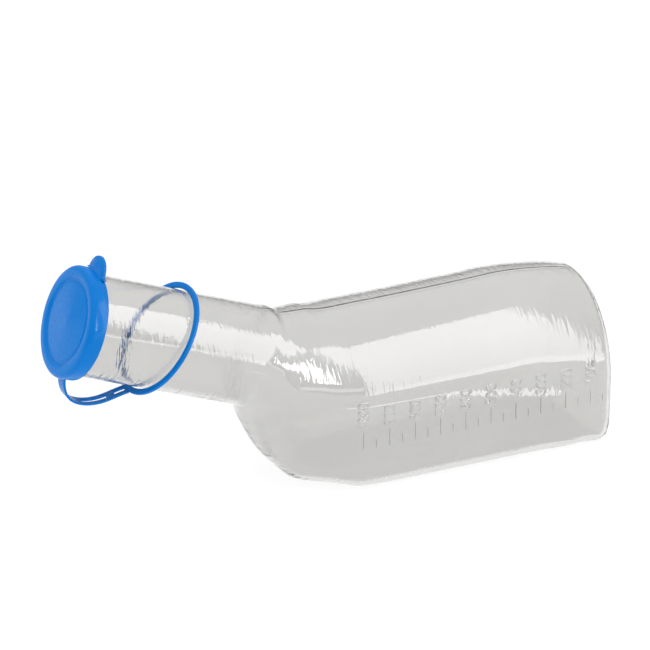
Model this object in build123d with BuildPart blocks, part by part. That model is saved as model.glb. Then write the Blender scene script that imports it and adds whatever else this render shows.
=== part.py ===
"""Male urine bottle, 1 litre: clear moulded bottle lying on its flat side, with a blue
one-piece closure (neck ring, slotted strap, push-on lid). Millimetres, +Z up. The body runs
along X with the flat end wall toward +X and the raised neck toward -X. The origin is on the
resting plane, under the middle of the whole product."""
import os
from math import cos, pi, radians, sin

from build123d import *

os.makedirs("parts", exist_ok=True)

# ---------------------------------------------------------------- driving dimensions
END_X = 157.6            # outer face of the flat end wall
WALL = 1.8               # moulded wall
BODY_WIDTH = 88.0
WIDEST = 51.0            # height of the widest line; the roof above it is near a half circle
RIDGE_MIDDLE = 94.3      # the ridge above the resting plane, at mid-body
RIDGE_CROWN = 95.8       # and where it is highest, toward the end wall
SIDE_SQUARENESS = 9.0    # exponent of the lower half: nearly square, corners about 12 mm
SOLE_CUT = 0.4           # sections dip this far below the resting plane and are planed off
END_RIDGE = 87.8         # the ridge at the end wall
END_WIDEST = 38.5        # the widest line comes down to this at the end wall
RIDGE_CLIMB = 0.4        # rise of the ridge per mm away from the end wall
WIDEST_CLIMB = 0.15
END_EDGE = 6.5           # rounding around the end wall

NECK_OD = 55.0
NECK_RISE = 21.0         # degrees above the body axis
NECK_LENGTH = 108.3
NECK_ROOT_X = -200.8     # where the straight neck starts, from the end wall
NECK_ROOT_Z = 74.9
POINTS = 60              # points taken on each section formula
SPACING = [i / POINTS for i in range(POINTS + 1)]    # the same knots on every section

GRADUATION = 15.2        # length of body that holds 100 ml
SCALE_MARKS = 20         # one mark per 50 ml up to 1000 ml
MARK_BOTTOM = 28.0
MARK_LONG = 10.0
MARK_SHORT = 5.0
MARK_WIDTH = 0.6
RELIEF = 0.5             # height of the raised scale
SINK = 0.5               # how deep raised features root into the wall

LID_OD = 60.4
LID_BORE = 56.0
LID_SKIRT = 7.0
LID_PLATE = 1.8
LID_GAP = 0.2            # plate to mouth rim
LID_EDGE = 2.4
PANEL_RADIUS = 21.2
GROOVE_RADIUS = 23.5
GROOVE_DEPTH = 0.9
PANEL_RECESS = 0.4
LEAD_IN = 0.9
TAB_WIDTH = 18.0
TAB_HEIGHT = 8.2
TAB_THICK = 3.0

RING_BORE = 58.2
RING_OD = 65.0
RING_THICK = 1.7
RING_ROUND = 0.5
RING_BACK = 53.6         # ring centre behind the mouth
RING_TILT = 15.0

STRAP_WIDTH = 8.4
STRAP_THICK = 1.3
SLOT_WIDTH = 2.8
SLOT_ROUND = 0.9


# ---------------------------------------------------------------- bottle outline
def section_points(half_width, roof, floor, squareness, inset):
    """Closed section about its widest line: elliptical roof, squarer lower half."""
    points = []
    for i in range(POINTS):
        angle = 2 * pi * i / POINTS
        c, s = cos(angle), sin(angle)
        power = 2.0 if s >= 0 else squareness
        height = (roof if s >= 0 else floor) - inset
        size = (abs(c / (half_width - inset)) ** power + abs(s / height) ** power) ** (-1 / power)
        points.append((size * c, size * s))
    return points


HALF = BODY_WIDTH / 2
NECK_R = NECK_OD / 2


def upright(back, widest, ridge, squareness=SIDE_SQUARENESS):
    """Station square across the body, standing on the resting plane."""
    return (back, widest, 0.0, HALF, ridge - widest, widest + SOLE_CUT, squareness)


# station: X from the end wall, height of the widest line, lean, half width, roof, floor, squareness
STATIONS = [
    upright(-25.0, 45.8, 93.9),
    upright(-60.0, WIDEST, RIDGE_CROWN),
    upright(-85.0, WIDEST, 95.0),
    upright(-122.0, WIDEST, RIDGE_MIDDLE),
    (-147.5, WIDEST, 0.5, HALF, 43.1, WIDEST + SOLE_CUT, 7.5),
    (-160.5, WIDEST + 1.0, 3.0, HALF - 1.2, 42.3, WIDEST + 0.4, 4.2),
    (-166.2, WIDEST + 2.2, 5.3, HALF - 2.3, 41.8, WIDEST + 1.7, 3.3),
    (-172.0, WIDEST + 3.9, 8.0, HALF - 4.0, 41.1, WIDEST + 2.8, 2.75),
    (-179.2, WIDEST + 6.3, 11.0, HALF - 6.2, 39.3, WIDEST - 2.4, 2.4),
    (-186.5, WIDEST + 9.0, 14.0, HALF - 8.8, 37.2, 41.6, 2.15),
    (NECK_ROOT_X + 6.2, NECK_ROOT_Z - 2.4, NECK_RISE, 29.2, NECK_R, 33.6, 2.0),
    (NECK_ROOT_X, NECK_ROOT_Z, NECK_RISE, NECK_R, NECK_R, NECK_R, 2.0),
]
EDGE_STEPS = 4           # stations that turn the end wall's rounded edge


def station_plane(back, height, lean):
    """Upright plane across the body, leaned so that its normal points out along the neck."""
    tilt = radians(lean)
    return Plane(
        origin=(END_X + back, 0, height),
        x_dir=(0, -1, 0),
        z_dir=(-cos(tilt), 0, sin(tilt)),
    )


def all_sections(wall):
    """Every section of the outer form, or of the cavity a wall thickness inside it."""
    sections = []
    radius = END_EDGE - wall
    for i in range(EDGE_STEPS + 1):
        turn = pi / 2 * (1 - i / EDGE_STEPS)
        back = -wall - radius * (1 - sin(turn))
        inset = wall + radius * (1 - cos(turn))
        widest = END_WIDEST - WIDEST_CLIMB * back
        roof = END_RIDGE - RIDGE_CLIMB * back - widest
        points = section_points(HALF, roof, widest + SOLE_CUT, SIDE_SQUARENESS, inset)
        sections.append((station_plane(back, widest, 0.0), points))
    for back, height, lean, half, roof, floor, squareness in STATIONS:
        points = section_points(half, roof, floor, squareness, wall)
        sections.append((station_plane(back, height, lean), points))
    return sections


with BuildPart() as cavity:
    for plane, points in all_sections(WALL):
        with BuildSketch(plane):
            with BuildLine():
                add(Edge.make_spline(points, periodic=True, parameters=SPACING))
            make_face()
    loft(ruled=True)
    extrude(cavity.faces().sort_by(Axis.X)[0], amount=NECK_LENGTH + 1.0)

# raised graduations on the near side: a long mark per 100 ml, a short one between
with BuildPart() as scale:
    for i in range(1, SCALE_MARKS + 1):
        x = END_X - i * GRADUATION / 2
        length = MARK_LONG if i % 2 == 0 else MARK_SHORT
        with Locations((x, SINK - HALF, MARK_BOTTOM)):
            Box(MARK_WIDTH, RELIEF + SINK, length, align=(Align.CENTER, Align.MAX, Align.MIN))

with BuildPart() as bottle:
    for plane, points in all_sections(0.0):
        with BuildSketch(plane):
            with BuildLine():
                add(Edge.make_spline(points, periodic=True, parameters=SPACING))
            make_face()
    loft(ruled=True)
    extrude(bottle.faces().sort_by(Axis.X)[0], amount=NECK_LENGTH)
    split(bisect_by=Plane.XY, keep=Keep.TOP)
    add(cavity.part, mode=Mode.SUBTRACT)
    add(scale.part)
bottle.part.label = "bottle"
export_step(bottle.part, "parts/bottle.step")

# ---------------------------------------------------------------- closure, set out on the neck axis
RISE = radians(NECK_RISE)
NECK_DIR = Vector(-cos(RISE), 0, sin(RISE))
NECK_UP = Vector(sin(RISE), 0, cos(RISE))
MOUTH = Vector(END_X + NECK_ROOT_X, 0, NECK_ROOT_Z) + NECK_DIR * NECK_LENGTH
neck_axis = Axis(MOUTH, NECK_DIR)

# side_plane: local x is the height above the neck axis, local y the distance beyond the mouth
side_plane = Plane(origin=MOUTH, x_dir=NECK_UP, z_dir=(0, -1, 0))

with BuildPart() as lid:
    front = LID_GAP + LID_PLATE
    with BuildSketch(side_plane):
        with BuildLine():
            Polyline(
                (LID_OD / 2 - LID_EDGE, front),
                (GROOVE_RADIUS, front),
                (GROOVE_RADIUS, front - GROOVE_DEPTH),
                (PANEL_RADIUS, front - GROOVE_DEPTH),
                (PANEL_RADIUS, front - PANEL_RECESS),
                (0, front - PANEL_RECESS),
                (0, LID_GAP),
                (LID_BORE / 2, LID_GAP),
                (LID_BORE / 2, LEAD_IN - LID_SKIRT),
                (LID_BORE / 2 + LEAD_IN, -LID_SKIRT),
                (LID_OD / 2, -LID_SKIRT),
                (LID_OD / 2, front - LID_EDGE),
            )
            RadiusArc((LID_OD / 2, front - LID_EDGE), (LID_OD / 2 - LID_EDGE, front), -LID_EDGE)
        make_face()
    revolve(axis=neck_axis)
    skirt_end = Plane(origin=MOUTH - NECK_DIR * LID_SKIRT, x_dir=(0, -1, 0), z_dir=NECK_DIR)
    with BuildSketch(skirt_end):
        with Locations((0, LID_OD / 2 + TAB_HEIGHT - TAB_WIDTH / 2)):
            Circle(TAB_WIDTH / 2)
        with Locations((0, LID_BORE / 2 + 2 * LEAD_IN)):
            Rectangle(TAB_WIDTH, TAB_HEIGHT - TAB_WIDTH / 2 + LEAD_IN, align=(Align.CENTER, Align.MIN))
        Circle(LID_BORE / 2 + LEAD_IN, mode=Mode.SUBTRACT)
    extrude(amount=TAB_THICK)
lid.part.label = "lid"
export_step(lid.part, "parts/lid.step")

# the ring sits loose on the neck, its foot drawn toward the lid by the strap
LEAN = radians(NECK_RISE + RING_TILT)
RING_CENTRE = MOUTH - NECK_DIR * RING_BACK
ring_plane = Plane(origin=RING_CENTRE, x_dir=(0, -1, 0), z_dir=(-cos(LEAN), 0, sin(LEAN)))
with BuildPart() as neck_ring:
    with BuildSketch(ring_plane):
        Circle(RING_OD / 2)
        Circle(RING_BORE / 2, mode=Mode.SUBTRACT)
    extrude(amount=RING_THICK / 2, both=True)
    fillet(neck_ring.edges().filter_by(GeomType.CIRCLE), RING_ROUND)
neck_ring.part.label = "neck_ring"
export_step(neck_ring.part, "parts/neck_ring.step")

# side view of the strap: from the lid skirt, hanging below the neck, back up to the ring
STRAP_PATH = [
    (-29.4, -6.0),
    (-34.8, -7.9),
    (-40.6, -12.8),
    (-42.3, -22.0),
    (-38.2, -34.2),
    (-33.4, -41.4),
    (-31.0, -45.3),
]
# slots through the strap: middle and length along the neck axis
SLOTS = [(-28.6, 14.0), (-41.8, 5.5)]
strap_below = Plane(origin=MOUTH, x_dir=NECK_DIR, z_dir=NECK_UP * -1)
with BuildPart() as strap:
    with BuildSketch(side_plane):
        with BuildLine():
            Spline(STRAP_PATH)
        trace(line_width=STRAP_THICK)
    extrude(amount=STRAP_WIDTH / 2, both=True)
    for middle, length in SLOTS:
        with BuildSketch(strap_below):
            with Locations((middle, 0)):
                RectangleRounded(length, SLOT_WIDTH, SLOT_ROUND)
        extrude(amount=LID_OD, mode=Mode.SUBTRACT)
    with BuildSketch(side_plane):
        with Locations((0, -LID_SKIRT)):
            Rectangle(LID_OD / 2, LID_OD, align=(Align.MIN, Align.MIN))
    revolve(axis=neck_axis, mode=Mode.SUBTRACT)
    with BuildSketch(ring_plane):
        Circle(RING_OD / 2)
    extrude(amount=RING_THICK / 2 + RING_ROUND, both=True, mode=Mode.SUBTRACT)
strap.part.label = "strap"
export_step(strap.part, "parts/strap.step")
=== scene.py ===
"""Looks for the urine bottle: a clear moulded shell with a raised scale, and a blue closure."""
from math import cos, pi, radians, sin

import bmesh
import bpy
import numpy as np
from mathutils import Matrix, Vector


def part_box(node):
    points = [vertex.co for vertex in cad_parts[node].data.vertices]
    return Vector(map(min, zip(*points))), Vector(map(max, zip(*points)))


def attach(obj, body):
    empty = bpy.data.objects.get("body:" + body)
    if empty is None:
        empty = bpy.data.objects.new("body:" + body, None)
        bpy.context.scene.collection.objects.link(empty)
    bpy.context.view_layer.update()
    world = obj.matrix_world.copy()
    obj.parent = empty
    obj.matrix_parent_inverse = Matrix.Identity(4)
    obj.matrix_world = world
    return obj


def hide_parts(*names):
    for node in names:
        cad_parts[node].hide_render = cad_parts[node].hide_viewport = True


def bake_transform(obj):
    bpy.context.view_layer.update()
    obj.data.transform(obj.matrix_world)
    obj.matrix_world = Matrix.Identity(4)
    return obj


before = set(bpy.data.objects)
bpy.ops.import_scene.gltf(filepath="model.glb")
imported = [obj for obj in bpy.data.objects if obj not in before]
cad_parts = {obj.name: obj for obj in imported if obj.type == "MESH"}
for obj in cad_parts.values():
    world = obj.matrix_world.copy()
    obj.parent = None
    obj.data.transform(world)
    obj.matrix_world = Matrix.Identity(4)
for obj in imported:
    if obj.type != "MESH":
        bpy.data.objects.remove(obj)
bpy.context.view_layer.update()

MM = 0.001

# ------------------------------------------------------------------ dimensions shared with the CAD, in mm
END_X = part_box("bottle")[1][0] / MM
WALL = 1.8
HALF = 44.0
WIDEST = 51.0            # height of the widest line
RIDGE_MIDDLE = 94.3      # height of the ridge at mid-body
RIDGE_CROWN = 95.8       # and where it is highest
END_RIDGE = 87.8         # and at the end wall
END_WIDEST = 38.5
RIDGE_CLIMB = 0.4        # rise of the ridge per mm away from the end wall
WIDEST_CLIMB = 0.15
SQUARE = 9.0             # exponent of a section's lower half
END_EDGE = 6.5           # rounding around the end wall
NECK_R = 27.5
RISE = radians(21.0)
NECK_LENGTH = 108.3
NECK_ROOT = (-200.8, 74.9)
HALF_STEP = 7.6          # body length per 50 ml
MARKS = 20
MARK_BOTTOM = 28.0
MARK_LONG = 10.0
MARK_SHORT = 5.0
RELIEF = 0.5
NECK_DIR = np.array([-cos(RISE), 0.0, sin(RISE)])
NECK_UP = np.array([sin(RISE), 0.0, cos(RISE)])
ACROSS = np.array([0.0, -1.0, 0.0])
ROOT = np.array([END_X + NECK_ROOT[0], 0.0, NECK_ROOT[1]])
MOUTH = ROOT + NECK_DIR * NECK_LENGTH


def upright(back, widest, ridge, squareness=SQUARE):
    """Section square across the body, standing on the resting plane."""
    return (back, widest, 0.0, HALF, ridge - widest, widest, squareness)


# back from the end wall, height of the widest line, lean in degrees, half width, roof, floor, squareness
STATIONS = np.array([
    upright(0.0, END_WIDEST, END_RIDGE),
    upright(-END_EDGE, END_WIDEST + WIDEST_CLIMB * END_EDGE, END_RIDGE + RIDGE_CLIMB * END_EDGE),
    upright(-25.0, 45.8, 93.9),
    upright(-60.0, WIDEST, RIDGE_CROWN),
    upright(-85.0, WIDEST, 95.0),
    upright(-122.0, WIDEST, RIDGE_MIDDLE),
    (-147.5, WIDEST, 0.5, HALF, 43.1, WIDEST, 7.5),
    (-160.5, WIDEST + 1.0, 3.0, HALF - 1.2, 42.3, WIDEST + 0.4, 4.2),
    (-166.2, WIDEST + 2.2, 5.3, HALF - 2.3, 41.8, WIDEST + 1.7, 3.3),
    (-172.0, WIDEST + 3.9, 8.0, HALF - 4.0, 41.1, WIDEST + 2.8, 2.75),
    (-179.2, WIDEST + 6.3, 11.0, HALF - 6.2, 39.3, WIDEST - 2.4, 2.4),
    (-186.5, WIDEST + 9.0, 14.0, HALF - 8.8, 37.2, 41.6, 2.15),
    (NECK_ROOT[0] + 6.2, NECK_ROOT[1] - 2.4, 21.0, 29.2, NECK_R, 33.6, 2.0),
    (NECK_ROOT[0], NECK_ROOT[1], 21.0, NECK_R, NECK_R, NECK_R, 2.0),
])


def smooth_through(keys, values, at):
    """Monotone cubic interpolation of each column of values."""
    h = np.diff(keys)
    slope = np.diff(values, axis=0) / h[:, None]
    tangent = np.zeros_like(values)
    tangent[1:-1] = (slope[:-1] + slope[1:]) / 2
    tangent[0], tangent[-1] = slope[0], slope[-1]
    flat = slope[:-1] * slope[1:] <= 0
    tangent[1:-1][flat] = 0
    cap = 3 * np.minimum(np.abs(slope[:-1]), np.abs(slope[1:]))
    tangent[1:-1] = np.clip(tangent[1:-1], -cap, cap)
    i = np.clip(np.searchsorted(keys, at, side="right") - 1, 0, len(h) - 1)
    t = ((at - keys[i]) / h[i])[:, None]
    h = h[i][:, None]
    return (
        values[i] * (1 + 2 * t) * (1 - t) ** 2
        + tangent[i] * h * t * (1 - t) ** 2
        + values[i + 1] * t * t * (3 - 2 * t)
        + tangent[i + 1] * h * t * t * (t - 1)
    )


def stroke_arc(cx, cy, rx, ry, start, stop, steps=10):
    """Points along an elliptical arc, angles in degrees from +x."""
    angles = np.radians(np.linspace(start, stop, steps))
    return np.stack([cx + rx * np.cos(angles), cy + ry * np.sin(angles)], 1)


# stroke outlines of the digits in a box 1 wide and 1.6 high
DIGITS = {
    "0": [stroke_arc(0.5, 0.8, 0.5, 0.8, 0, 360, 20)],
    "1": [np.array([(0.2, 1.3), (0.55, 1.6), (0.55, 0.0)])],
    "2": [np.concatenate([stroke_arc(0.5, 1.15, 0.46, 0.45, 160, -30), [(0.0, 0.0), (1.0, 0.0)]])],
    "3": [stroke_arc(0.45, 1.2, 0.44, 0.4, 150, -90), stroke_arc(0.45, 0.42, 0.52, 0.4, 90, -150)],
    "4": [np.array([(0.75, 0.0), (0.75, 1.6), (0.0, 0.5), (1.0, 0.5)])],
    "5": [np.concatenate([[(0.92, 1.6), (0.18, 1.6), (0.12, 0.9)],
                          stroke_arc(0.45, 0.5, 0.52, 0.48, 120, -150)])],
    "6": [stroke_arc(0.5, 0.5, 0.48, 0.48, 0, 360, 16), stroke_arc(0.95, 0.55, 0.93, 1.05, 180, 105)],
    "7": [np.array([(0.0, 1.6), (1.0, 1.6), (0.35, 0.0)])],
    "8": [stroke_arc(0.5, 1.2, 0.4, 0.4, 0, 360, 16), stroke_arc(0.5, 0.42, 0.5, 0.42, 0, 360, 16)],
    "9": [stroke_arc(0.5, 1.1, 0.48, 0.48, 0, 360, 16), stroke_arc(0.05, 1.05, 0.93, 1.05, 0, -75)],
}
GLYPH_WIDTH = 3.0        # mm across the box, along +Z
GLYPH_HEIGHT = 5.8
GLYPH_ADVANCE = 4.1
GLYPH_BOX = 1.6          # height of the box that the digits are drawn in
STROKE = 0.48            # half width of a numeral's domed stroke
NUMERAL_START = 39.8     # height of a number's first digit above the sole
LABEL_REACH = 3.6        # half the length of body that a numeral takes
MARK_REACH = 0.15        # half the width of a mark's top
MARK_PAINTED_SHADE = 0.4         # flank value of the marks, which puts each whole mark in the painted shade band: the marks are too narrow to show a clear top


def distance_to_path(px, pz, path):
    """Shortest distance from each point to a polyline."""
    best = np.full(px.shape, 1e9)
    for (ax, az), (bx, bz) in zip(path[:-1], path[1:]):
        dx, dz = bx - ax, bz - az
        t = np.clip(((px - ax) * dx + (pz - az) * dz) / (dx * dx + dz * dz), 0, 1)
        best = np.minimum(best, np.hypot(px - ax - t * dx, pz - az - t * dz))
    return best


def relief(back, height):
    """Raised height in mm of the scale at a distance back from the end wall and a height above the
    sole, and how far up its own flank each raised point is, from 0 to 1, which the clear material turns
    into painted shade."""
    raised = np.zeros(back.shape)
    flank = np.zeros(back.shape)
    for i in range(1, MARKS + 1):
        offset = -back - i * HALF_STEP       # positive toward the neck
        near = np.abs(offset) < LABEL_REACH
        if not near.any():
            continue
        numbered = i % 2 == 0                # one mark per 50 ml, a number per 100 ml
        length = MARK_LONG if numbered else MARK_SHORT
        inside = (height > MARK_BOTTOM) & (height < MARK_BOTTOM + length)
        on_mark = inside & (np.abs(offset) < MARK_REACH)
        raised[on_mark] = RELIEF
        flank[on_mark] = MARK_PAINTED_SHADE
        if not numbered:
            continue
        for place, digit in enumerate(str(i * 50)):
            left = NUMERAL_START + place * GLYPH_ADVANCE
            spot = near & (height > left - 2 * STROKE) & (height < left + GLYPH_WIDTH + 2 * STROKE)
            for path in DIGITS[digit]:
                strokes = path * (GLYPH_WIDTH, GLYPH_HEIGHT / GLYPH_BOX)
                d = distance_to_path(height[spot] - left, offset[spot] + GLYPH_HEIGHT / 2, strokes)
                d = d / STROKE
                dome = RELIEF * np.sqrt(np.clip(1 - d * d, 0, 1))
                raised[spot] = np.maximum(raised[spot], dome)
                flank[spot] = np.maximum(flank[spot], dome / RELIEF)
    return raised, flank


FINE_STEP = 0.25         # between the outside's rings under the scale
COARSE_STEP = 0.8        # and elsewhere on the body
BODY_END = 156.0         # where the straight body gives way to the shoulder, back from the end wall
INNER_RINGS = 50
SHOULDER_RINGS = 30
NECK_RINGS = 40
PANEL_CENTRE = END_WIDEST + 4.0          # height of the end wall's middle
PANEL_SHARES = (0.04, 0.15, 0.3, 0.45, 0.6, 0.75, 0.88, 0.96)
EDGE_TURNS = 12                          # rings around the end wall's rounding
SCALE_SIDE = radians(40)                 # the scale lies within this of the widest line
SEAM_RELIEF = 0.15                       # parting line along the ridge
MOUTH_ZONE = 0.6                         # the mouth's edge is softened within this


def ring_points(rows, angles, inset):
    """World points in mm and their distances from the section's centre, one ring per row of
    station values."""
    c, s = np.cos(angles)[None], np.sin(angles)[None]
    back, arch, lean, half, roof, floor, power = (rows[:, k, None] for k in range(7))
    exponent = np.where(s >= 0, 2.0, power)
    height = np.where(s >= 0, roof, floor) - inset
    r = (np.abs(c / (half - inset)) ** exponent + np.abs(s / height) ** exponent) ** (-1 / exponent)
    tilt = np.radians(lean)
    x = END_X + back + r * s * np.sin(tilt)
    z = arch + r * s * np.cos(tilt)
    return np.stack([x, -r * c, z], 2), r


def scale_backs():
    """Distances back from the end wall of the outside's rings: close together under the scale."""
    backs = []
    for i in range(1, MARKS + 1):
        middle = i * HALF_STEP
        reach = LABEL_REACH if i % 2 == 0 else 2 * FINE_STEP
        backs.append(np.arange(middle - reach, middle + reach + FINE_STEP / 2, FINE_STEP))
    backs = np.concatenate(backs)
    between = np.arange(END_EDGE + COARSE_STEP, BODY_END, COARSE_STEP)
    clear = np.abs(between[:, None] - backs).min(axis=1) > FINE_STEP
    backs = np.sort(np.concatenate([backs, between[clear]]))
    return backs[(backs > END_EDGE + FINE_STEP) & (backs <= BODY_END)]


def shell_rings(angles, wall):
    """Rings from the middle of the end wall to the mouth, for the outside or the inside, and the
    relief's flank value at each of their points."""
    radius = END_EDGE - wall
    rings = []
    end_row = smooth_through(-STATIONS[:, 0], STATIONS[:, 1:], np.array([0.0]))
    end_row = np.concatenate([[[0.0]], end_row], 1)
    rim, _ = ring_points(end_row, angles, END_EDGE)
    centre = np.array([END_X, 0.0, PANEL_CENTRE])
    for share in PANEL_SHARES:
        flat = centre + (rim[0] - centre) * share
        flat[:, 0] = END_X - wall
        rings.append(flat)
    for turn in np.linspace(0, pi / 2, EDGE_TURNS):
        back = wall + radius * (1 - cos(turn))
        inset = wall + radius * (1 - sin(turn))
        row = smooth_through(-STATIONS[:, 0], STATIONS[:, 1:], np.array([back]))
        row = np.concatenate([[[-back]], row], 1)
        rings.append(ring_points(row, angles, inset)[0][0])
    backs = scale_backs() if wall == 0 else np.linspace(END_EDGE + 1.5, BODY_END, INNER_RINGS)
    backs = np.concatenate([backs, np.linspace(BODY_END + 1.5, -NECK_ROOT[0], SHOULDER_RINGS)])
    rows = smooth_through(-STATIONS[:, 0], STATIONS[:, 1:], backs)
    rows = np.concatenate([-backs[:, None], rows], 1)
    body, _ = ring_points(rows, angles, wall)
    flank = np.zeros(body.shape[:2])
    before = len(rings)
    if wall == 0:
        side = np.abs(angles) < SCALE_SIDE
        back_grid = np.repeat(-backs[:, None], side.sum(), 1)
        lift, flank[:, side] = relief(back_grid, body[:, side, 2])
        body[:, side, 1] -= lift
        body[:, np.isclose(angles, pi / 2), 2] += SEAM_RELIEF
    rings.extend(body)
    steps = np.linspace(0, NECK_LENGTH, NECK_RINGS)[1:]
    radius = NECK_R - wall
    circle = np.cos(angles)[:, None] * ACROSS + np.sin(angles)[:, None] * NECK_UP
    for along in steps:
        if wall == 0 and along > NECK_LENGTH - MOUTH_ZONE:
            rings.append(ROOT + NECK_DIR * (NECK_LENGTH - 0.5) + circle * radius)
            rings.append(ROOT + NECK_DIR * (NECK_LENGTH - 0.15) + circle * (radius - 0.15))
            rings.append(ROOT + NECK_DIR * NECK_LENGTH + circle * (radius - 0.5))
        elif wall and along > NECK_LENGTH - MOUTH_ZONE:
            rings.append(ROOT + NECK_DIR * (NECK_LENGTH - 0.4) + circle * radius)
            rings.append(ROOT + NECK_DIR * NECK_LENGTH + circle * (radius + 0.4))
        else:
            rings.append(ROOT + NECK_DIR * along + circle * radius)
    flanks = np.zeros((len(rings), len(angles)))
    flanks[before:before + len(body)] = flank
    return rings, flanks


def skin(rings):
    """Quads between consecutive rings; returns vertices and faces."""
    count = len(rings[0])
    verts = np.concatenate(rings)
    faces = []
    for i in range(len(rings) - 1):
        for j in range(count):
            k = (j + 1) % count
            faces.append((i * count + j, (i + 1) * count + j, (i + 1) * count + k, i * count + k))
    return verts, faces


def new_object(name, verts, faces):
    """Smooth-shaded object from points in mm, with its faces turned outward."""
    mesh = bpy.data.meshes.new(name)
    mesh.from_pydata([tuple(v) for v in np.asarray(verts) * MM], [], faces)
    mesh.validate()
    bm = bmesh.new()
    bm.from_mesh(mesh)
    bmesh.ops.recalc_face_normals(bm, faces=bm.faces)
    bm.to_mesh(mesh)
    bm.free()
    mesh.shade_smooth()
    obj = bpy.data.objects.new(name, mesh)
    bpy.context.scene.collection.objects.link(obj)
    return obj


def bake(obj):
    """Applies the object's modifiers to its mesh."""
    graph = bpy.context.evaluated_depsgraph_get()
    mesh = bpy.data.meshes.new_from_object(obj.evaluated_get(graph))
    obj.modifiers.clear()
    obj.data = mesh


# ------------------------------------------------------------------ bottle
# angles round a section from the widest line on the graduated side, close together under the scale
SEAM_WIDTH = 0.006       # radians on each side of a seam
fine = np.radians(np.arange(-31.0, 10.0, 0.31))
coarse_up = np.radians(np.linspace(12, 168, 36))
coarse_side = np.radians(np.linspace(172, 326, 32))
seams = np.array([middle + k * SEAM_WIDTH for middle in (pi / 2, -pi / 2) for k in (-1, 0, 1)])
angles = np.concatenate([fine, coarse_up, coarse_side])
angles = (angles + pi) % (2 * pi) - pi
angles = np.array([a for a in angles if min(abs(a - b) for b in seams) > 2 * SEAM_WIDTH])
angles = np.sort(np.concatenate([angles, seams]))
outer, outer_flanks = shell_rings(angles, 0.0)
inner, inner_flanks = shell_rings(angles, WALL)
rings = outer + inner[::-1]
verts, faces = skin(rings)
count = len(angles)
faces.append(tuple(range(count)))
faces.append(tuple(range(len(verts) - 1, len(verts) - 1 - count, -1)))
verts[:, 2] = np.maximum(verts[:, 2], 0.0)
bottle = new_object("bottle_shell", verts, faces)
# flank values, which the clear material turns into painted shade on the scale's flanks and marks
flank_shade_layer = bottle.data.attributes.new("flank", "FLOAT", "POINT")
flank_values = np.concatenate([outer_flanks.ravel(), inner_flanks[::-1].ravel()])
flank_shade_layer.data.foreach_set("value", flank_values)
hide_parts("bottle")
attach(bottle, "bottle")

# ------------------------------------------------------------------ lid
LID_R = 30.2
SKIRT = 7.0
LID_SEGMENTS = 144
# radius, distance beyond the mouth: sunk panel, groove, rounded rim, skirt, inside
lid_profile = [
    (0.0, 1.55), (1.3, 1.55), (1.7, 1.5), (20.4, 1.5), (20.9, 1.42), (21.3, 1.15), (21.8, 1.0),
    (22.9, 1.0), (23.3, 1.2), (23.6, 1.7), (24.2, 1.95), (25.2, 2.0), (27.4, 2.0), (28.4, 1.8),
    (29.3, 1.3), (29.9, 0.6), (30.2, -0.4), (30.2, -3.4), (30.2, -6.4), (30.05, -6.85), (29.7, -7.0),
    (29.0, -7.0), (28.7, -6.9), (28.0, -6.1), (28.0, -3.0), (28.0, 0.0), (27.8, 0.2), (14.0, 0.2),
    (0.0, 0.2),
]


def revolve(profile, centre, axis, up, segments):
    """Rings of a turned profile of (radius, distance along the axis)."""
    turn = np.linspace(0, 2 * pi, segments, endpoint=False)
    out = np.cos(turn)[:, None] * ACROSS + np.sin(turn)[:, None] * up
    return [centre + axis * s + out * max(r, 0.02) for r, s in profile]


verts, faces = skin(revolve(lid_profile, MOUTH, NECK_DIR, NECK_UP, LID_SEGMENTS))
faces.append(tuple(range(LID_SEGMENTS)))
faces.append(tuple(range(len(verts) - 1, len(verts) - 1 - LID_SEGMENTS, -1)))
lid = new_object("lid_cap", verts, faces)

# thumb tab: a flat tongue with a rounded edge, at the top of the skirt's rear edge
TAB_HALF = 9.0
TAB_TIP = LID_R + 8.2
TAB_STEPS = 24
TAB_MIDDLE = np.array([0.0, 32.0])
TAB_LAYERS = ((0.0, 0.5), (0.35, 0.12), (0.9, 0.0), (1.4, 0.0), (1.9, 0.12), (2.2, 0.5))
outline = []
for i in range(TAB_STEPS + 1):
    turn = pi * i / TAB_STEPS
    outline.append((TAB_HALF * cos(turn), TAB_TIP - TAB_HALF + TAB_HALF * sin(turn)))
outline += [
    (-TAB_HALF - 1.0, 29.6), (-TAB_HALF - 2.6, 28.9), (TAB_HALF + 2.6, 28.9), (TAB_HALF + 1.0, 29.6),
]
layers = []
for depth, shrink in TAB_LAYERS:
    layer = []
    for u, v in outline:
        p = np.array([u, v])
        p = p - (p - TAB_MIDDLE) / np.linalg.norm(p - TAB_MIDDLE) * shrink
        layer.append(MOUTH + NECK_DIR * (depth - SKIRT) + ACROSS * p[0] + NECK_UP * p[1])
    layers.append(np.array(layer))
verts, faces = skin(layers)
faces.append(tuple(range(len(outline))))
faces.append(tuple(range(len(verts) - 1, len(verts) - 1 - len(outline), -1)))
tab = new_object("tab_tool", verts, faces)
union = lid.modifiers.new("union", "BOOLEAN")
union.operation = "UNION"
union.solver = "EXACT"
union.object = tab
bake(lid)
bpy.data.objects.remove(tab)
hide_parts("lid")
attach(lid, "lid")

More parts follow.
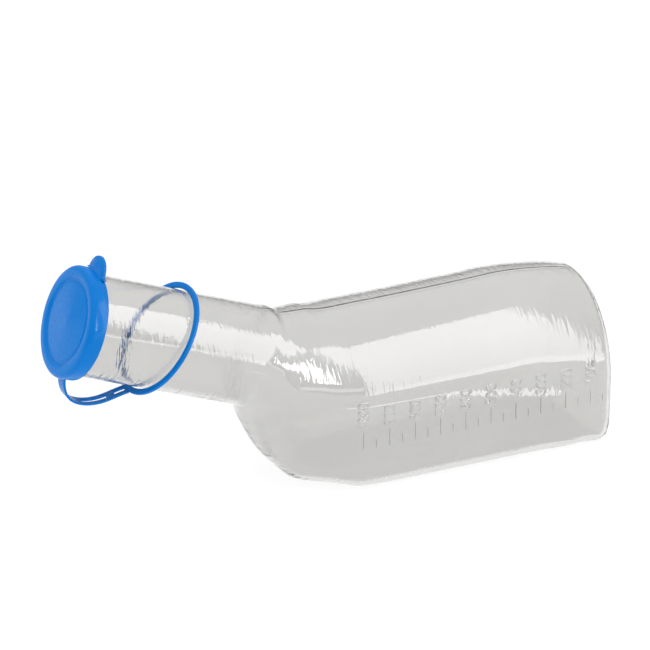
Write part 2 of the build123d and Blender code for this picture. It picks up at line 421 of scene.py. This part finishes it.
# ------------------------------------------------------------------ neck ring
TILT = radians(36.0)      # of the ring's axis above the body's
RING_BACK = 53.6         # behind the mouth, along the neck
RING_SEGMENTS = 180
ring_axis = np.array([-cos(TILT), 0.0, sin(TILT)])
ring_up = np.array([sin(TILT), 0.0, cos(TILT)])
RING_IN, RING_OUT, RING_HALF = 29.1, 32.5, 0.85
RING_ROUND = 0.5
ring_corners = (
    (RING_OUT - RING_ROUND, RING_HALF - RING_ROUND, 0),
    (RING_IN + RING_ROUND, RING_HALF - RING_ROUND, 90),
    (RING_IN + RING_ROUND, RING_ROUND - RING_HALF, 180),
    (RING_OUT - RING_ROUND, RING_ROUND - RING_HALF, 270),
)
ring_profile = []
for cx, cy, start in ring_corners:
    for k in range(4):
        turn = radians(start + 30 * k)
        ring_profile.append((cx + RING_ROUND * cos(turn), cy + RING_ROUND * sin(turn)))
ring_centre = MOUTH - NECK_DIR * RING_BACK
rings = revolve(ring_profile, ring_centre, ring_axis, ring_up, RING_SEGMENTS)
verts, faces = skin(rings + [rings[0]])
band = new_object("ring_band", verts, faces)
weld = bmesh.new()
weld.from_mesh(band.data)
bmesh.ops.remove_doubles(weld, verts=weld.verts, dist=1e-6)
bmesh.ops.recalc_face_normals(weld, faces=weld.faces)
weld.to_mesh(band.data)
weld.free()
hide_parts("neck_ring")
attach(band, "ring")

# ------------------------------------------------------------------ strap
# above the neck's axis, beyond the mouth
STRAP_PATH = np.array([
    (-29.4, -6.0),
    (-34.8, -7.9),
    (-40.6, -12.8),
    (-42.3, -22.0),
    (-38.2, -34.2),
    (-33.4, -41.4),
    (-31.0, -45.3),
])
SLOTS = ((-28.6, 14.0), (-41.8, 5.5))     # middle beyond the mouth, length along the neck
SLOT_COLUMNS = (2, 3)                     # the two middle columns of faces
STRAP_THICK = 1.3
STRAP_ROUND = 0.28
STRAP_STEPS = 96
keys = np.concatenate([[0], np.cumsum(np.linalg.norm(np.diff(STRAP_PATH, axis=0), axis=1))])
along = np.linspace(0, keys[-1], STRAP_STEPS)


def curve_through(keys, points, at):
    """Natural cubic spline through the points."""
    n = len(keys)
    h = np.diff(keys)
    a = np.eye(n)
    b = np.zeros((n, 2))
    for i in range(1, n - 1):
        a[i, i - 1:i + 2] = h[i - 1] / 6, (h[i - 1] + h[i]) / 3, h[i] / 6
        b[i] = (points[i + 1] - points[i]) / h[i] - (points[i] - points[i - 1]) / h[i - 1]
    m = np.linalg.solve(a, b)
    i = np.clip(np.searchsorted(keys, at, side="right") - 1, 0, n - 2)
    left, right = (at - keys[i])[:, None], (keys[i + 1] - at)[:, None]
    hh = h[i][:, None]
    return (
        m[i] * right ** 3 / (6 * hh) + m[i + 1] * left ** 3 / (6 * hh)
        + (points[i] / hh - m[i] * hh / 6) * right + (points[i + 1] / hh - m[i + 1] * hh / 6) * left
    )


line = curve_through(keys, STRAP_PATH, along)
columns = np.array([-4.2, -3.5, -1.4, 0.0, 1.4, 3.5, 4.2])
bm = bmesh.new()
grid = []
for up, out in line:
    base = MOUTH + NECK_UP * up + NECK_DIR * out
    grid.append([bm.verts.new(Vector((base + ACROSS * -c) * MM)) for c in columns])
for i in range(len(line) - 1):
    middle = (line[i, 1] + line[i + 1, 1]) / 2
    open_here = any(abs(middle - s) < length / 2 for s, length in SLOTS)
    for j in range(len(columns) - 1):
        if open_here and j in SLOT_COLUMNS:
            continue
        bm.faces.new((grid[i][j], grid[i + 1][j], grid[i + 1][j + 1], grid[i][j + 1]))
loose = [v for v in bm.verts if not v.link_faces]
bmesh.ops.delete(bm, geom=loose, context="VERTS")
mesh = bpy.data.meshes.new("strap_band")
bm.to_mesh(mesh)
bm.free()
strap = bpy.data.objects.new("strap_band", mesh)
bpy.context.scene.collection.objects.link(strap)
thick = strap.modifiers.new("thick", "SOLIDIFY")
thick.thickness = STRAP_THICK * MM
thick.offset = 0
soft = strap.modifiers.new("soft", "BEVEL")
soft.width = STRAP_ROUND * MM
soft.segments = 2
soft.limit_method = "ANGLE"
bake(strap)
strap.data.shade_smooth()
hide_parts("strap")
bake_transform(strap)


# ------------------------------------------------------------------ materials
def material(name):
    """New material with its nodes, links and main shader."""
    m = bpy.data.materials.new(name)
    m.use_nodes = True
    return m, m.node_tree.nodes, m.node_tree.links, m.node_tree.nodes["Principled BSDF"]


def noise(nodes, links, coords, scale, detail, stretch=(1, 1, 1)):
    """Noise over the object's own coordinates; returns its value socket."""
    mapping = nodes.new("ShaderNodeMapping")
    mapping.inputs["Scale"].default_value = stretch
    links.new(coords.outputs["Object"], mapping.inputs["Vector"])
    tex = nodes.new("ShaderNodeTexNoise")
    tex.inputs["Scale"].default_value = scale
    tex.inputs["Detail"].default_value = detail
    links.new(mapping.outputs["Vector"], tex.inputs["Vector"])
    return tex.outputs["Fac"]


def spread(nodes, links, value, low, high):
    """Maps a 0 to 1 socket onto low to high."""
    m = nodes.new("ShaderNodeMapRange")
    m.inputs["To Min"].default_value = low
    m.inputs["To Max"].default_value = high
    links.new(value, m.inputs["Value"])
    return m.outputs["Result"]


def bumps(nodes, links, shader, layers):
    """Chains bump nodes: (height socket, strength, distance in metres)."""
    previous = None
    for height, strength, distance in layers:
        bump = nodes.new("ShaderNodeBump")
        bump.inputs["Strength"].default_value = strength
        bump.inputs["Distance"].default_value = distance
        links.new(height, bump.inputs["Height"])
        if previous:
            links.new(previous, bump.inputs["Normal"])
        previous = bump.outputs["Normal"]
    links.new(previous, shader.inputs["Normal"])


clear, nodes, links, shader = material("clear_polycarbonate")
coords = nodes.new("ShaderNodeTexCoord")
shader.inputs["Transmission Weight"].default_value = 1.0
shader.inputs["IOR"].default_value = 1.5
tint = nodes.new("ShaderNodeMix")
tint.data_type = "RGBA"
tint.inputs["A"].default_value = (0.735, 0.731, 0.72, 1)
tint.inputs["B"].default_value = (0.78, 0.776, 0.765, 1)
links.new(noise(nodes, links, coords, 18.0, 2.0), tint.inputs["Factor"])
# painted shade: the base colour is darkened where the flank value lies between about 0.25 and 0.5, on the
# steep flanks of the raised numerals and over each whole mark, in place of the light lost there by
# refraction
flank = nodes.new("ShaderNodeAttribute")
flank.attribute_name = "flank"
painted_flank_shade_ramp = nodes.new("ShaderNodeValToRGB")
painted_flank_shade_ramp.color_ramp.elements[0].position = 0.02
painted_flank_shade_ramp.color_ramp.elements[0].color = (1.0, 1.0, 1.0, 1)
painted_flank_shade_ramp.color_ramp.elements[1].position = 0.9
painted_flank_shade_ramp.color_ramp.elements[1].color = (1.0, 1.0, 1.0, 1)
for position, value in ((0.25, 0.35), (0.5, 0.35)):
    painted_flank_shade_ramp.color_ramp.elements.new(position).color = (value, value, value, 1)
links.new(flank.outputs["Fac"], painted_flank_shade_ramp.inputs["Fac"])
flank_painted_shade = nodes.new("ShaderNodeMix")
flank_painted_shade.data_type = "RGBA"
flank_painted_shade.blend_type = "MULTIPLY"
flank_painted_shade.inputs["Factor"].default_value = 1.0
links.new(tint.outputs["Result"], flank_painted_shade.inputs["A"])
links.new(painted_flank_shade_ramp.outputs["Color"], flank_painted_shade.inputs["B"])
links.new(flank_painted_shade.outputs["Result"], shader.inputs["Base Color"])
polish = spread(nodes, links, noise(nodes, links, coords, 60.0, 3.0), 0.02, 0.06)
links.new(polish, shader.inputs["Roughness"])
bumps(nodes, links, shader, [
    (noise(nodes, links, coords, 22.0, 1.0, (0.5, 1, 1)), 0.35, 0.0006),
    (noise(nodes, links, coords, 520.0, 2.0, (1, 0.16, 0.16)), 1.0, 0.00016),
])
bottle.data.materials.append(clear)

blue, nodes, links, shader = material("blue_polyethylene")
coords = nodes.new("ShaderNodeTexCoord")
tint = nodes.new("ShaderNodeMix")
tint.data_type = "RGBA"
tint.inputs["A"].default_value = (0.0, 0.19, 0.64, 1)
tint.inputs["B"].default_value = (0.0, 0.22, 0.72, 1)
links.new(noise(nodes, links, coords, 40.0, 3.0), tint.inputs["Factor"])
links.new(tint.outputs["Result"], shader.inputs["Base Color"])
satin = spread(nodes, links, noise(nodes, links, coords, 220.0, 4.0), 0.22, 0.34)
links.new(satin, shader.inputs["Roughness"])
shader.inputs["Subsurface Weight"].default_value = 0.03
shader.inputs["Subsurface Radius"].default_value = (0.0004, 0.001, 0.003)
shader.inputs["IOR"].default_value = 1.51
shader.inputs["Specular IOR Level"].default_value = 0.06
shader.inputs["Coat Weight"].default_value = 0.12
shader.inputs["Coat Roughness"].default_value = 0.12
bumps(nodes, links, shader, [
    (noise(nodes, links, coords, 900.0, 2.0), 0.12, 0.00006),
    (noise(nodes, links, coords, 55.0, 2.0), 0.25, 0.0002),
])
for piece in (lid, band, strap):
    piece.data.materials.clear()
    piece.data.materials.append(blue)

# ------------------------------------------------------------------ stage
FLOOR_HALF = 4.0         # metres
FLOOR_DROP = -0.0002     # clear of the sole
mesh = bpy.data.meshes.new("floor")
floor_corners = [(x * FLOOR_HALF, y * FLOOR_HALF, FLOOR_DROP)
                 for x, y in ((-1, -1), (1, -1), (1, 1), (-1, 1))]
mesh.from_pydata(floor_corners, [], [(0, 1, 2, 3)])
floor = bpy.data.objects.new("floor", mesh)
bpy.context.scene.collection.objects.link(floor)
pale, nodes, links, shader = material("pale_floor")
coords = nodes.new("ShaderNodeTexCoord")
tint = nodes.new("ShaderNodeMix")
tint.data_type = "RGBA"
tint.inputs["A"].default_value = (0.12, 0.12, 0.12, 1)
tint.inputs["B"].default_value = (0.15, 0.15, 0.15, 1)
links.new(noise(nodes, links, coords, 3.0, 2.0), tint.inputs["Factor"])
links.new(tint.outputs["Result"], shader.inputs["Base Color"])
shader.inputs["Roughness"].default_value = 0.9
shader.inputs["Emission Color"].default_value = (1.0, 1.0, 1.0, 1)
shader.inputs["Emission Strength"].default_value = 0.90
floor.data.materials.append(pale)


def softbox(name, place, target, width, height, watts):
    """An area light seen only in reflections, so that it casts no shadow."""
    light = bpy.data.lights.new(name, "AREA")
    light.shape = "RECTANGLE"
    light.size, light.size_y = width, height
    light.energy = watts
    obj = bpy.data.objects.new(name, light)
    obj.location = place
    obj.rotation_euler = (Vector(target) - Vector(place)).to_track_quat("-Z", "Y").to_euler()
    obj.visible_camera = False
    obj.visible_diffuse = False
    obj.visible_transmission = False
    bpy.context.scene.collection.objects.link(obj)
    return obj


softbox("key_softbox", (0.187, -0.25, 0.21), (0.06, -0.04, 0.07), 0.22, 0.44, 1.75)
softbox("low_strip", (0.085, -0.138, 0.004), (0.045, -0.044, 0.05), 0.16, 0.003, 0.008)
softbox("lid_strip", (-0.02, -0.42, 0.30), (-0.15, 0.0, 0.11), 0.05, 0.30, 1.2)
softbox("neck_strip", (-0.02, -0.30, 0.085), (-0.10, -0.03, 0.095), 0.20, 0.02, 0.04)

world = bpy.data.worlds.new("studio")
world.use_nodes = True
nodes, links = world.node_tree.nodes, world.node_tree.links
coords = nodes.new("ShaderNodeTexCoord")
split = nodes.new("ShaderNodeSeparateXYZ")
links.new(coords.outputs["Generated"], split.inputs["Vector"])
ramp = nodes.new("ShaderNodeValToRGB")
links.new(split.outputs["Z"], ramp.inputs["Fac"])
ramp.color_ramp.elements[0].position = 0.05
ramp.color_ramp.elements[0].color = (0.25, 0.25, 0.25, 1)
ramp.color_ramp.elements[1].position = 0.65
ramp.color_ramp.elements[1].color = (1.0, 1.0, 1.0, 1)
links.new(ramp.outputs["Color"], nodes["Background"].inputs["Color"])
nodes["Background"].inputs["Strength"].default_value = 1.2
bpy.context.scene.world = world

# ------------------------------------------------------------------ camera
AZIMUTH, ELEVATION, DISTANCE = radians(-24.554), radians(24.921), 2.312
CAMERA_AIM = (0.00586, 0.00675, 0.08004)
LENS, SENSOR = 236.6, 36.0
camera_data = bpy.data.cameras.new("camera")
camera_data.lens = LENS
camera_data.sensor_width = SENSOR
camera_data.clip_end = 20.0
camera = bpy.data.objects.new("camera", camera_data)
target = Vector(CAMERA_AIM)
camera.location = target + DISTANCE * Vector((
    sin(AZIMUTH) * cos(ELEVATION), -cos(AZIMUTH) * cos(ELEVATION), sin(ELEVATION)))
camera.rotation_euler = (target - camera.location).to_track_quat("-Z", "Y").to_euler()
bpy.context.scene.collection.objects.link(camera)
bpy.context.scene.camera = camera

scene = bpy.context.scene
scene.view_settings.view_transform = "Standard"
scene.cycles.max_bounces = 24
scene.cycles.transmission_bounces = 24
scene.cycles.glossy_bounces = 12
